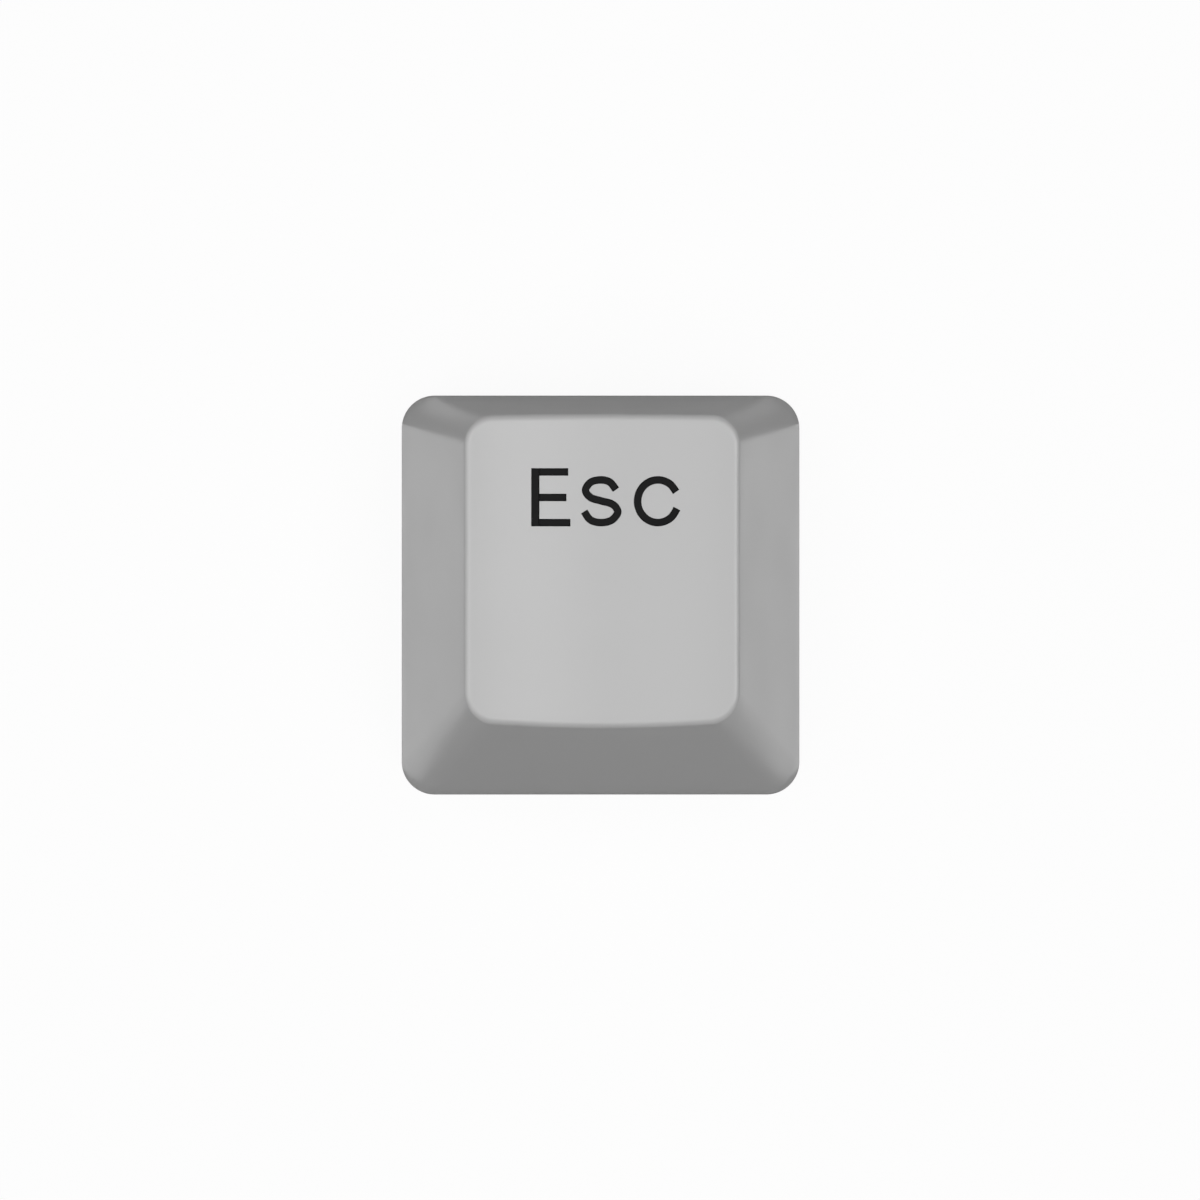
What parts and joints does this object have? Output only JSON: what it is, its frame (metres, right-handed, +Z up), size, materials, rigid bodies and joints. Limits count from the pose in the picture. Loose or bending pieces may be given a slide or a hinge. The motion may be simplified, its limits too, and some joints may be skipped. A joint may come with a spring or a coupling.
{
  "type": "keycap",
  "caption": "Single-width top-row keycap: hollow moulded cap with sloping walls, a dished top and a post with a cross-shaped socket inside.",
  "frame": {"origin": "middle of the plane of the rim, on the surface that the cap stands on", "axes": "+Z up out of the dished top, +Y towards the back of the key, +X towards its right side"},
  "size_m": [0.0182, 0.0182, 0.0114],
  "materials": {
    "cap": "smooth moulded plastic with a fine satin sheen, light grey",
    "label": "thin printed ink film, black, satin"
  },
  "bodies": {
    "root": {"keycap": "cap"}
  },
  "joints": []
}
